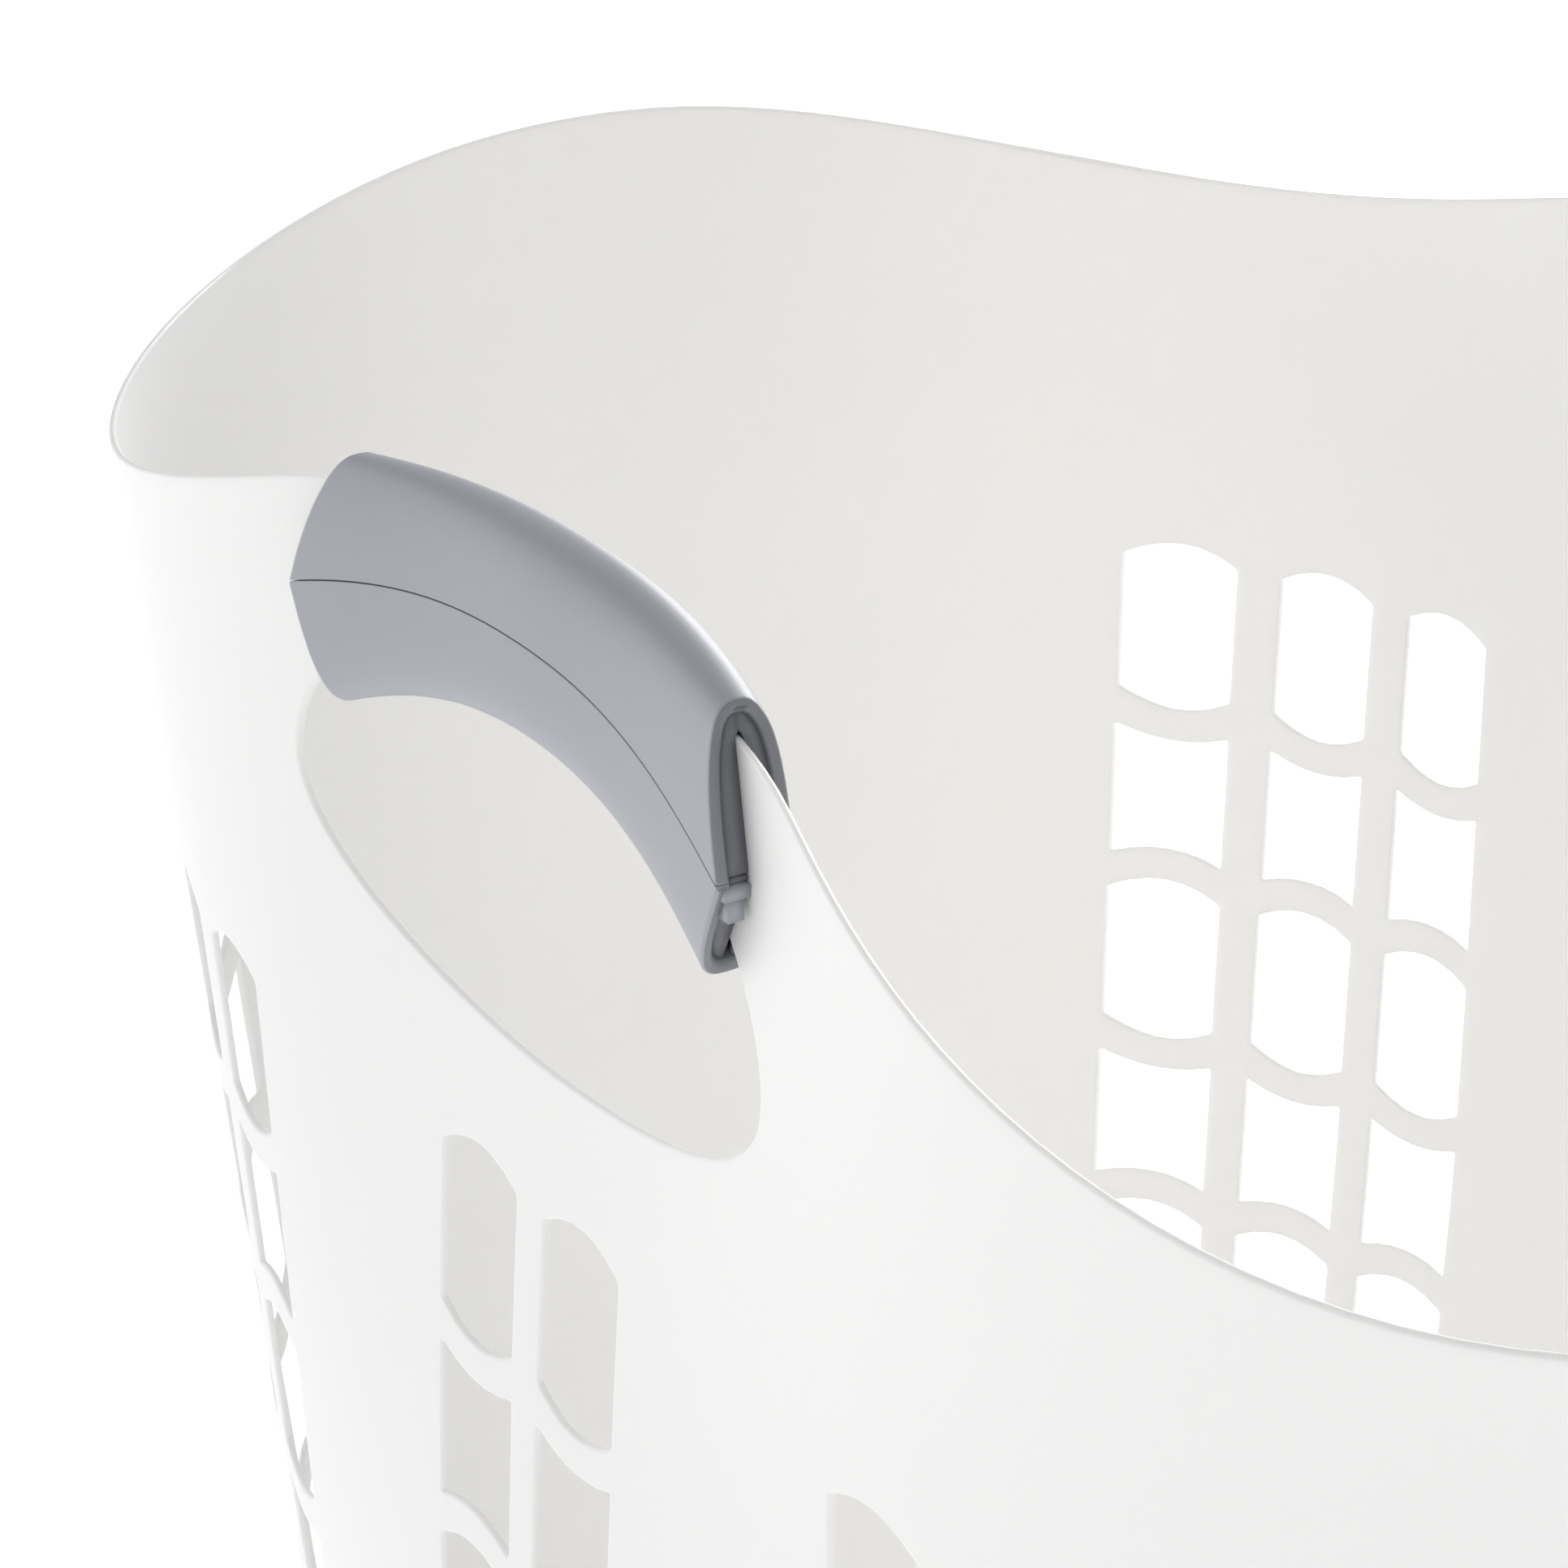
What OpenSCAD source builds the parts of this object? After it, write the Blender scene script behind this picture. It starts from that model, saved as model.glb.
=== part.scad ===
// Tall laundry hamper: one moulded body with perforated handle walls and a two-shell grip on each handle.
// Origin at the middle of the base on the floor, +Z up, handles at -X and +X, front at -Y.

/* [Body] */
// Half width between the handle walls, at the reference height, before the pinch at the handles
half_width_top = 155.5; // [150:0.5:165]
// Half width between the handle walls, at the floor
half_width_base = 112; // [105:0.5:120]
// Half depth from the middle to the front or back wall, at the reference height
half_depth_top = 230; // [222:0.5:240]
// Half depth at the floor
half_depth_base = 189; // [180:0.5:200]
// Height at which the top half width and half depth are measured
reference_height = 600; // [590:1:620]
// Squareness of the plan outline at the floor, where 2 is an ellipse
squareness_base = 2; // [2:0.05:2.4]
// Squareness of the plan outline at the reference height
squareness_top = 3.05; // [2.8:0.05:3.4]
// Thickness of the moulded wall
wall = 1.2; // [1:0.1:2.4]
// Thickness of the floor
floor_thickness = 3; // [2:0.1:5]
// Size of the rounding where the wall meets the floor
base_round = 12; // [8:1:16]

/* [Pinch at the handles] */
// How far behind the middle the handles sit
handle_y = 13; // [0:1:20]
// How far the handle wall is drawn in at the reference height
pinch_depth = 30.5; // [20:0.5:34]
// Half length of the drawn-in stretch
pinch_half = 94; // [80:1:110]
// Height where the pinch begins
pinch_start = 367; // [350:1:400]

/* [Rim] */
// Mean height of the wavy rim
rim_mean = 576; // [570:1:582]
// Rise of the rim towards the handles
rim_rise = 12; // [8:1:14]
// Height of the humps over the handles and the long walls above the dips between them
rim_hump = 11.5; // [8:0.5:13]
// Flattening of the dips
rim_dip = 3.6; // [2:0.1:5]
// How much higher the back of the rim is than its mean
rim_tilt = 5; // [0:0.5:7]
// Highest level of the rim, on the carrying bar under a grip
bar_top = 586; // [584:0.5:587]

/* [Hand hole] */
// Height of the middle of the hand hole
hand_z = 537; // [535:0.5:540]
// Half length of the hand hole
hand_half_length = 71; // [66:0.5:74]
// Height of the hand hole below its middle
hand_below = 26.5; // [24:0.5:28]
// Height of the hand hole above its middle, up to the carrying bar inside the grip
hand_above = 34; // [33:0.5:36]

/* [Perforations] */
// Top corner of the highest row of perforations
row_top = 485.5; // [480:0.5:488]
// Number of rows
rows = 10; // [6:1:12]
// Height of a perforation at its corners
hole_height = 28.5; // [25:0.1:30]
// Height of the rib between two rows
rib = 7.8; // [6:0.1:10]
// Rise of the arched edges of a barrel opening
barrel_arch = 3.4; // [2:0.1:4.5]
// Rise of the arched edges of a pincushion opening
pincushion_arch = 2.4; // [1.5:0.1:3.5]
// Width of a perforation in the pair under the hand hole
pair_width = 22.5; // [18:0.1:24]
// Width of a perforation in a corner group
corner_width = 20.6; // [18:0.1:22]
// Width of the upright bar between two columns
upright = 9.1; // [7:0.1:11]
// Distance from the handle to the nearest edge of a corner group
corner_start = 91.7; // [88:0.1:96]
// Spread of the columns for each millimetre of height
spread = 0.0005; // [0:0.0001:0.0008]

/* [Grip] */
// How far behind the middle the grips are centred
grip_y = 12; // [8:0.5:16]
// Half length of a grip
grip_half = 65.5; // [60:0.5:67]
// Height of the seam between the two shells, at the middle of the grip
seam_mid = 580; // [578:0.5:581]
// Height of the seam at the ends of the grip
seam_end = 568.5; // [567:0.5:571]
// Height of the grip's top, at the middle
crown_mid = 594.5; // [593:0.5:597]
// Height of the grip's top, at its ends
crown_end = 590; // [588:0.5:592]
// Height of the grip's underside, at the middle
under_mid = 563; // [561:0.5:565]
// Height of the grip's underside, at its ends
under_end = 545.5; // [544:0.5:548]
// Distance of the grip's outer face from the middle of the wall at the seam, at the middle of the grip
outer_mid = 8.2; // [7.5:0.1:10]
// The same distance at the ends of the grip
outer_end = 6; // [5.6:0.1:8]
// Distance of the grip's inner face from the middle of the wall at the seam, at the middle of the grip
inner_mid = 7.8; // [7:0.1:9]
// The same distance at the ends of the grip
inner_end = 6.8; // [6:0.1:8]
// Roundness of the upper shell's section, where 2 is an ellipse and more is squarer
upper_square = 2.5; // [2:0.1:3]
// Roundness of the lower shell's section
lower_square = 3; // [2:0.1:3.4]
// How far the ends slant inwards from the seam to the crown and to the underside
end_slant = 9; // [4:0.5:12]
// Skin thickness of a grip shell
skin = 2.3; // [2:0.1:2.6]

/* [Hidden] */
white = [0.95, 0.95, 0.94];
grey = [0.56, 0.58, 0.61];
around = 60;
wall_levels = [0, 0.002, 0.007, 0.021, 0.3, 0.62, 0.74, 0.84, 0.92, 1];
row_pitch = hole_height + rib;
seam_gap = 0.2;
rim_softness = 1;
squareness_growth = 1.33;
pinch_growth = 1.29;
pinch_flatness = 2.57;
pinch_full_share = 0.5;
through = 4 * half_width_top;
crest_share = 1 / 3;
thin = 0.02;
overlap = 1;
hand_hole_steps = 32;
stations = 16;
arc_steps = 8;

// Plan outline of the outer skin at height z
function portion(z) = max(0, z) / reference_height;
function half_x(z) = half_width_base + (half_width_top - half_width_base) * portion(z);
function half_y(z) = half_depth_base + (half_depth_top - half_depth_base) * portion(z);
function squareness(z) =
    squareness_base + (squareness_top - squareness_base) * pow(portion(z), squareness_growth);

// How far the handle wall is drawn in at a point
function pinch(y, z) =
    pinch_depth * pow(max(0, (z - pinch_start) / (reference_height - pinch_start)), pinch_growth)
    * exp(-pow(abs(y - handle_y) / pinch_half, pinch_flatness));

// Distance of the handle wall's outer skin from the middle plane
function wall_x(y, z) =
    half_x(z) * pow(1 - pow(abs(y) / half_y(z), squareness(z)), 1 / squareness(z)) - pinch(y, z);

// A point of the plan outline at angle a and height z, drawn in by inset.
// The pinch fades out on the long walls.
function outline_radius(a, z, inset) =
    pow(pow(abs(cos(a)) / (half_x(z) - inset), squareness(z))
        + pow(abs(sin(a)) / (half_y(z) - inset), squareness(z)), -1 / squareness(z));
function outline_point(a, z, inset) =
    let (r = outline_radius(a, z, inset), x = r * cos(a), y = r * sin(a))
    [x - sign(x) * pinch(y, z) * min(1, abs(x) / (pinch_full_share * half_x(z))), y];

// Height of the rim at plan angle a, levelled off smoothly at the carrying bars
function rim_wave(a) =
    rim_mean + rim_rise * cos(2 * a) + rim_hump * cos(4 * a) - rim_dip * cos(6 * a) + rim_tilt * sin(a);
function rim_z(a) =
    bar_top - rim_softness * ln(1 + exp((bar_top - rim_wave(a)) / rim_softness));

// Rounding between the wall and the floor, as the inset of the skin at height h above the floor
function foot_inset(h) =
    h >= base_round ? 0 : base_round - sqrt(base_round * base_round - pow(base_round - h, 2));

function skin_ring(h_of_level, inset, low) = [
    for (i = [0:around - 1])
        let (a = 360 * i / around, z = low + h_of_level * (rim_z(a) - low),
             p = outline_point(a, z, inset + foot_inset(z - low)))
        [p[0], p[1], z]
];

// The body before it is perforated: an outer skin, an inner skin, the rim between them and two floors
module blank() {
    n = around;
    m = len(wall_levels);
    outer = [for (h = wall_levels) each skin_ring(h, 0, 0)];
    inner = [for (h = wall_levels) each skin_ring(h, wall, floor_thickness)];
    function at(k, i) = k * n + (i % n);
    skin_faces = [
        for (k = [0:m - 2], i = [0:n - 1]) each [
            [at(k, i), at(k + 1, i), at(k + 1, i + 1)],
            [at(k, i), at(k + 1, i + 1), at(k, i + 1)]
        ]
    ];
    lining_faces = [for (f = skin_faces) [f[2] + m * n, f[1] + m * n, f[0] + m * n]];
    rim_faces = [
        for (i = [0:n - 1]) each [
            [at(m - 1, i), m * n + at(m - 1, i), m * n + at(m - 1, i + 1)],
            [at(m - 1, i), m * n + at(m - 1, i + 1), at(m - 1, i + 1)]
        ]
    ];
    underside = [[for (i = [0:n - 1]) i]];
    inside_floor = [[for (i = [0:n - 1]) m * n + n - 1 - i]];
    polyhedron(points = concat(outer, inner),
        faces = concat(skin_faces, lining_faces, rim_faces, underside, inside_floor));
}

// A cutter that runs through both handle walls: a block with y and z sizes about a middle point
module through_block(width, height) {
    cube([through, width, height], center = true);
}

// Arched at its top and sagging at its bottom
module barrel_cutter(width) {
    hull() {
        through_block(width, hole_height);
        through_block(crest_share * width, hole_height + 2 * barrel_arch);
    }
}

// Sagging at its top and arched at its bottom
module pincushion_cutter(width) {
    difference() {
        through_block(width, hole_height);
        for (side = [-1, 1]) translate([0, 0, side * hole_height / 2]) hull() {
            through_block(width + overlap, thin);
            through_block(crest_share * width, 2 * pincushion_arch);
        }
    }
}

// One column of perforations; from is the edge nearest the handle, measured at the top row
module column(from, width) {
    for (k = [0:rows - 1]) {
        middle = row_top - hole_height / 2 - k * row_pitch;
        stretch = 1 + spread * (middle - row_top);
        translate([0, handle_y + stretch * (from + width / 2), middle]) {
            if (k % 2 == 0) {
                barrel_cutter(width);
            } else {
                pincushion_cutter(width);
            }
        }
    }
}

module perforations() {
    for (side = [0, 1]) translate([0, 2 * side * handle_y, 0]) mirror([0, side, 0]) {
        column(upright / 2, pair_width);
        for (c = [0:2]) column(corner_start + c * (corner_width + upright), corner_width);
    }
}

module hand_holes() {
    translate([0, handle_y, hand_z]) rotate([90, 0, 90])
        linear_extrude(height = through, center = true)
            polygon([
                for (i = [0:hand_hole_steps - 1])
                    let (a = 360 * i / hand_hole_steps, high = a > 180 ? hand_below : hand_above)
                    [hand_half_length * cos(a), high * sin(a)]
            ]);
}

module body() {
    color(white) difference() {
        blank();
        perforations();
        hand_holes();
    }
}

// Heights along the grip, where s runs from -1 at its front end to 1 at its back end
function seam_z(s) = seam_mid + (seam_end - seam_mid) * s * s;
function crown_z(s) = crown_mid + (crown_end - crown_mid) * s * s;
function under_z(s) = under_mid + (under_end - under_mid) * s * s;

// Middle of the wall beside the grip, as a positive distance from the middle plane
function bar_x(y, z) = wall_x(y, min(z, bar_top)) - wall / 2;

// A point of a grip skin at share t of its length and angle a from the outer seam to the inner one
function bow(q, n) = sign(q) * pow(abs(q), 2 / n);
function skin_point(t, a, up, inset) =
    let (n = up ? upper_square : lower_square, height = bow(sin(a), n),
         y = grip_y + t * (grip_half - end_slant * height), s = (y - grip_y) / grip_half,
         edge = seam_z(s) + (up ? seam_gap : -seam_gap) / 2,
         z = edge + height * (up ? crown_z(s) - edge - inset : under_z(s) - edge + inset),
         mid = a > 90 ? inner_mid : outer_mid,
         thick = mid + ((a > 90 ? inner_end : outer_end) - mid) * s * s,
         off = (thick - inset) * bow(cos(a), n))
    [-(bar_x(y, z) + off), y, z];

// A shell of the left grip: an outer skin and an inner one, closed along the seam and at the ends
module grip_shell(up) {
    m = 2 * (arc_steps + 1);
    points = [
        for (k = [0:stations])
            let (t = -1 + 2 * k / stations) each concat(
                [for (i = [0:arc_steps]) skin_point(t, 180 * i / arc_steps, up, 0)],
                [for (i = [arc_steps:-1:0]) skin_point(t, 180 * i / arc_steps, up, skin)])
    ];
    sides = [
        for (k = [0:stations - 1], i = [0:m - 1])
            let (j = (i + 1) % m) each [
                [k * m + i, (k + 1) * m + i, (k + 1) * m + j],
                [k * m + i, (k + 1) * m + j, k * m + j]
            ]
    ];
    ends = [
        for (i = [0:arc_steps - 1]) let (o = m - 1 - i) each [
            [i, i + 1, o], [i + 1, o - 1, o],
            [stations * m + i + 1, stations * m + i, stations * m + o],
            [stations * m + o - 1, stations * m + i + 1, stations * m + o]
        ]
    ];
    faces = concat(sides, ends);
    polyhedron(points = points, faces = up ? faces : [for (f = faces) [f[2], f[1], f[0]]]);
}

module grip_left_upper() {
    color(grey) grip_shell(true);
}

module grip_left_lower() {
    color(grey) grip_shell(false);
}

module grip_right_upper() {
    color(grey) mirror([1, 0, 0]) grip_shell(true);
}

module grip_right_lower() {
    color(grey) mirror([1, 0, 0]) grip_shell(false);
}

body();
grip_left_upper();
grip_left_lower();
grip_right_upper();
grip_right_lower();
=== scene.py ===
import bmesh
import bpy
import numpy as np
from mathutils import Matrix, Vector
from mathutils.geometry import delaunay_2d_cdt


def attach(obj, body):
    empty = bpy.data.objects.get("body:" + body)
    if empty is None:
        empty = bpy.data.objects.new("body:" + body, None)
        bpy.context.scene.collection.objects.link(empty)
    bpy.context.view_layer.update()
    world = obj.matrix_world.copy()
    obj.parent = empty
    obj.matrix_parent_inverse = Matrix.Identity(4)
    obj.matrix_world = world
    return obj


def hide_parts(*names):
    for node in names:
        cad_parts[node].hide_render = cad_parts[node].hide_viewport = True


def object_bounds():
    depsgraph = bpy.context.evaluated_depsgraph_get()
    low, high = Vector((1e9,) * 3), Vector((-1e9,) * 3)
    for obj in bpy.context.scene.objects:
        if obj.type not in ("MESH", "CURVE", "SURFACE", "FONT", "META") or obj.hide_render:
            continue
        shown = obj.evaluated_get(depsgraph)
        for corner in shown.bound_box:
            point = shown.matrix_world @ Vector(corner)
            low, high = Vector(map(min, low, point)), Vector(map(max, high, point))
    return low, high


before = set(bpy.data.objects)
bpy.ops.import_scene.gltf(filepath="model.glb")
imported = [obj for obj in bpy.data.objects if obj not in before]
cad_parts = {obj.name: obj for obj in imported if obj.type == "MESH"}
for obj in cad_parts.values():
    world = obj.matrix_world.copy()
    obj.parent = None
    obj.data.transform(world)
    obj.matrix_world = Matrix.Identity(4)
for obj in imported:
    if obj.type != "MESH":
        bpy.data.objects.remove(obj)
cad_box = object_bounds()

# ---------------------------------------------------------------------------------------------
# Body shell. One injection moulding in white polypropylene, about 1.2 mm thick, that tapers to the
# floor. The handle walls are drawn in round the hands, and the rim rises over them.
# ---------------------------------------------------------------------------------------------
WALL = 0.0012
FLOOR_THICK = 0.003
REFERENCE_Z = 0.6
BASE_HALF_WIDTH, HALF_WIDTH_GAIN = 0.112, 0.0435
BASE_HALF_DEPTH, HALF_DEPTH_GAIN = 0.189, 0.041
BASE_SQUARENESS, SQUARENESS_GAIN, SQUARENESS_GROWTH = 2, 1.05, 1.33
HANDLE_Y = 0.013
PINCH_START, PINCH_DEPTH, PINCH_GROWTH = 0.367, 0.0305, 1.29
PINCH_HALF, PINCH_FLATNESS, PINCH_FADE = 0.094, 2.57, 2
RIM_MEAN = 0.576
RIM_RISE_MM, RIM_HUMP_MM, RIM_DIP_MM, RIM_TILT_MM = 12, 11.5, 3.6, 5
MILLIMETRE = 0.001
BAR_TOP, RIM_SOFTNESS = 0.586, 0.001
FOOT_ROUND = 0.012


def half_width(z):
    return BASE_HALF_WIDTH + HALF_WIDTH_GAIN * np.clip(z, 0, None) / REFERENCE_Z


def half_depth(z):
    return BASE_HALF_DEPTH + HALF_DEPTH_GAIN * np.clip(z, 0, None) / REFERENCE_Z


def squareness(z):
    return BASE_SQUARENESS + SQUARENESS_GAIN * (np.clip(z, 0, None) / REFERENCE_Z) ** SQUARENESS_GROWTH


def drawn_in(y, z):
    """How far the handle wall is pulled towards the middle at a point."""
    rise = np.clip((z - PINCH_START) / (REFERENCE_Z - PINCH_START), 0, None) ** PINCH_GROWTH
    return PINCH_DEPTH * rise * np.exp(-((np.abs(y - HANDLE_Y) / PINCH_HALF) ** PINCH_FLATNESS))


def rim_height(turn):
    """The wavy rim, levelled off smoothly where it is the carrying bar."""
    wave = RIM_RISE_MM * np.cos(2 * turn) + RIM_HUMP_MM * np.cos(4 * turn)
    wave = wave - RIM_DIP_MM * np.cos(6 * turn) + RIM_TILT_MM * np.sin(turn)
    below = BAR_TOP - RIM_MEAN - MILLIMETRE * wave
    return BAR_TOP - RIM_SOFTNESS * np.log1p(np.exp(below / RIM_SOFTNESS))


def shell_point(turn, z, inset):
    """A point of the shell at a plan angle and a height, its outline made smaller by inset."""
    a, b, n = half_width(z) - inset, half_depth(z) - inset, squareness(z)
    c, s = np.abs(np.cos(turn)), np.abs(np.sin(turn))
    radius = ((c / a) ** n + (s / b) ** n) ** (-1 / n)
    x, y = radius * np.cos(turn), radius * np.sin(turn)
    x = x - np.sign(x) * drawn_in(y, z) * np.minimum(1, PINCH_FADE * np.abs(x) / half_width(z))
    return np.stack([x, y, np.broadcast_to(z, x.shape)], -1)


def turn_at(y, z, inset):
    """The plan angle, on the -X side, of the shell's point at this y."""
    a, b, n = half_width(z) - inset, half_depth(z) - inset, squareness(z)
    x = a * np.clip(1 - (np.abs(y) / b) ** n, 1e-9, None) ** (1 / n)
    return np.arctan2(y, -x) % (2 * np.pi)


def shell_normal(turn, z, inset):
    """Unit direction out of the shell, from its slope each way."""
    step = 1e-4
    across = shell_point(turn + step, z, inset) - shell_point(turn - step, z, inset)
    up = shell_point(turn, z + step, inset) - shell_point(turn, z - step, inset)
    out = np.cross(across, up)
    return out / np.linalg.norm(out, axis=-1, keepdims=True)


# ---------------------------------------------------------------------------------------------
# Perforations. Each handle wall has a pair of columns under the hand and three columns near each
# corner. Barrel and pincushion openings take turns down a column, all cut straight through along X.
# ---------------------------------------------------------------------------------------------
def node_tree(name, inputs):
    """An empty Geometry Nodes tree with a Geometry output and the named inputs."""
    tree = bpy.data.node_groups.new(name, "GeometryNodeTree")
    tree.interface.new_socket("Geometry", in_out="INPUT", socket_type="NodeSocketGeometry")
    for label, kind in inputs:
        tree.interface.new_socket(label, in_out="INPUT", socket_type=kind)
    tree.interface.new_socket("Geometry", in_out="OUTPUT", socket_type="NodeSocketGeometry")
    return tree


def run_tree(tree, name, values):
    """Evaluates the tree on an empty object and returns the plain mesh that it makes."""
    holder = bpy.data.objects.new(name + "_holder", bpy.data.meshes.new(name + "_holder"))
    bpy.context.scene.collection.objects.link(holder)
    modifier = holder.modifiers.new("maker", "NODES")
    modifier.node_group = tree
    for item in tree.interface.items_tree:
        if item.item_type == "SOCKET" and item.in_out == "INPUT" and item.name in values:
            modifier[item.identifier] = values[item.name]
    shape = holder.evaluated_get(bpy.context.evaluated_depsgraph_get())
    mesh = bpy.data.meshes.new_from_object(shape)
    holder.modifiers.remove(modifier)
    bpy.data.objects.remove(holder)
    mesh.name = name
    return mesh


def link(tree, source, target):
    tree.links.new(source, target)


def number(tree, operation, *values):
    """A Math node; each value is a number or a socket."""
    node = tree.nodes.new("ShaderNodeMath")
    node.operation = operation
    for socket, value in zip(node.inputs, values):
        if isinstance(value, (int, float)):
            socket.default_value = value
        else:
            link(tree, value, socket)
    return node.outputs[0]


def perforation_tree(plain):
    """Centres of the openings, in columns away from the handle and rows down, spread with height."""
    tree = node_tree("perforation_centres", [
        ("Rows", "NodeSocketInt"), ("Columns", "NodeSocketInt"), ("First Column", "NodeSocketFloat"),
        ("Column Pitch", "NodeSocketFloat"), ("First Row", "NodeSocketFloat"),
        ("Row Pitch", "NodeSocketFloat"), ("Spread", "NodeSocketFloat"),
        ("Spread From", "NodeSocketFloat"), ("Handle", "NodeSocketFloat")])
    entry = tree.nodes.new("NodeGroupInput").outputs
    leave = tree.nodes.new("NodeGroupOutput")
    rows = tree.nodes.new("GeometryNodeMeshLine")
    total = number(tree, "MULTIPLY", entry["Rows"], entry["Columns"])
    link(tree, total, rows.inputs["Count"])
    index = tree.nodes.new("GeometryNodeInputIndex").outputs[0]
    past_half = number(tree, "ADD", index, 0.5)
    row = number(tree, "FLOOR", number(tree, "DIVIDE", past_half, entry["Columns"]))
    column = number(tree, "SUBTRACT", index, number(tree, "MULTIPLY", row, entry["Columns"]))
    down = number(tree, "MULTIPLY", row, entry["Row Pitch"])
    height = number(tree, "SUBTRACT", entry["First Row"], down)
    fan = number(tree, "ADD", 1.0, number(
        tree, "MULTIPLY", entry["Spread"], number(tree, "SUBTRACT", height, entry["Spread From"])))
    along = number(tree, "MULTIPLY", column, entry["Column Pitch"])
    away = number(tree, "ADD", entry["First Column"], along)
    y = number(tree, "ADD", entry["Handle"], number(tree, "MULTIPLY", away, fan))
    place = tree.nodes.new("ShaderNodeCombineXYZ")
    link(tree, y, place.inputs["Y"])
    link(tree, height, place.inputs["Z"])
    move = tree.nodes.new("GeometryNodeSetPosition")
    link(tree, rows.outputs["Mesh"], move.inputs["Geometry"])
    link(tree, place.outputs[0], move.inputs["Position"])
    finish_tree(tree, move.outputs[0], leave, plain)
    return tree


def finish_tree(tree, geometry, leave, material):
    """Ends a tree in Realize Instances and Set Material."""
    real = tree.nodes.new("GeometryNodeRealizeInstances")
    link(tree, geometry, real.inputs[0])
    paint = tree.nodes.new("GeometryNodeSetMaterial")
    paint.inputs["Material"].default_value = material
    link(tree, real.outputs[0], paint.inputs["Geometry"])
    link(tree, paint.outputs[0], leave.inputs[0])


ROWS, HOLE_TALL, RIB = 10, 0.0285, 0.0078
BARREL_ARCH, PINCUSHION_ARCH = 0.0034, 0.0024
ROW_TOP, ROW_SPREAD = 0.4855, 0.5
PAIR_WIDE, CORNER_WIDE, UPRIGHT, CORNER_START = 0.0225, 0.0206, 0.0091, 0.0917
CORNER_ROUND, CORNER_STEPS, ARCH_SHARES = 0.0006, (1 / 3, 2 / 3), (0.62, 0.3, 0.0)
HAND_Z, HAND_HALF_LONG, HAND_BELOW, HAND_ABOVE, HAND_STEPS = 0.537, 0.071, 0.0265, 0.034, 72
OUTER_EDGE, INNER_EDGE = 0.0007, 0.0002
OUTER_EDGE_STEPS, INNER_EDGE_STEPS = (0.36, 0.7, 1), (1, 0.5)

white_shell = bpy.data.materials.new("white_shell")
centres_of = perforation_tree(white_shell)


def hole_outline(wide, pincushion):
    """Outline of one opening about its middle, anticlockwise in (y, z), with rounded corners."""
    sag = -PINCUSHION_ARCH if pincushion else BARREL_ARCH
    w, h, r = wide / 2, HOLE_TALL / 2, CORNER_ROUND

    def top(y):
        return h + sag * (1 - (y / w) ** 2)

    below, corner, beside = np.array([w, h - r]), np.array([w, h]), np.array([w - r, top(w - r)])
    bend = [(1 - t) ** 2 * below + 2 * t * (1 - t) * corner + t * t * beside for t in CORNER_STEPS]
    arc = [(y, top(y)) for y in (w * share for share in ARCH_SHARES)]
    quarter = np.array([(w, 0.0), below, *bend, beside, *arc])
    upper = np.concatenate([quarter, quarter[-2::-1] * [-1, 1]])
    return np.concatenate([upper, upper[1:-1] * [-1, -1]])


def outward_shift(loop):
    """Unit direction away from the opening at each of its outline's points."""
    along = np.roll(loop, -1, 0) - np.roll(loop, 1, 0)
    along /= np.linalg.norm(along, axis=1, keepdims=True)
    return np.stack([along[:, 1], -along[:, 0]], 1)


def opening_loops():
    """Every opening of a handle wall as (outline, outward directions) in y and z."""
    loops = []
    for side in (-1, 1):
        for columns, first, wide in ((1, UPRIGHT / 2, PAIR_WIDE), (3, CORNER_START, CORNER_WIDE)):
            mesh = run_tree(centres_of, "perforation_middles", {
                "Rows": ROWS, "Columns": columns, "First Column": side * (first + wide / 2),
                "Column Pitch": side * (wide + UPRIGHT), "First Row": ROW_TOP - HOLE_TALL / 2,
                "Row Pitch": HOLE_TALL + RIB, "Spread": ROW_SPREAD, "Spread From": ROW_TOP,
                "Handle": HANDLE_Y})
            for k, vertex in enumerate(mesh.vertices):
                row = k // columns
                outline = hole_outline(wide, row % 2 == 1)
                shape = outline + [vertex.co.y, vertex.co.z]
                stretch = 1 + ROW_SPREAD * (shape[:, 1] - ROW_TOP)
                middle = 1 + ROW_SPREAD * (vertex.co.z - ROW_TOP)
                shape[:, 0] = HANDLE_Y + (shape[:, 0] - HANDLE_Y) * stretch / middle
                loops.append((shape, outward_shift(shape)))
            bpy.data.meshes.remove(mesh)
    turn = np.linspace(0, 2 * np.pi, HAND_STEPS, endpoint=False)
    tall = np.where(np.sin(turn) < 0, HAND_BELOW, HAND_ABOVE)
    hand = np.stack([HANDLE_Y + HAND_HALF_LONG * np.cos(turn), HAND_Z + tall * np.sin(turn)], 1)
    loops.append((hand, outward_shift(hand)))
    return loops


# The wall is a sheet in plan angle and height. Openings are cut from the sheet, and both skins,
# the rounded hole edges and the rolled rim are then laid on it.
TURN_STEPS, COARSE_LEVELS, FINE_LEVELS, FINE_FROM = 109, 45, 25, 0.45
METRES_A_TURN, RIM_CLEAR, HOLE_REACH, HOLE_CLEAR, MERGE = 0.2, 0.003, 0.02, 0.0028, 1e-7


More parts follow.
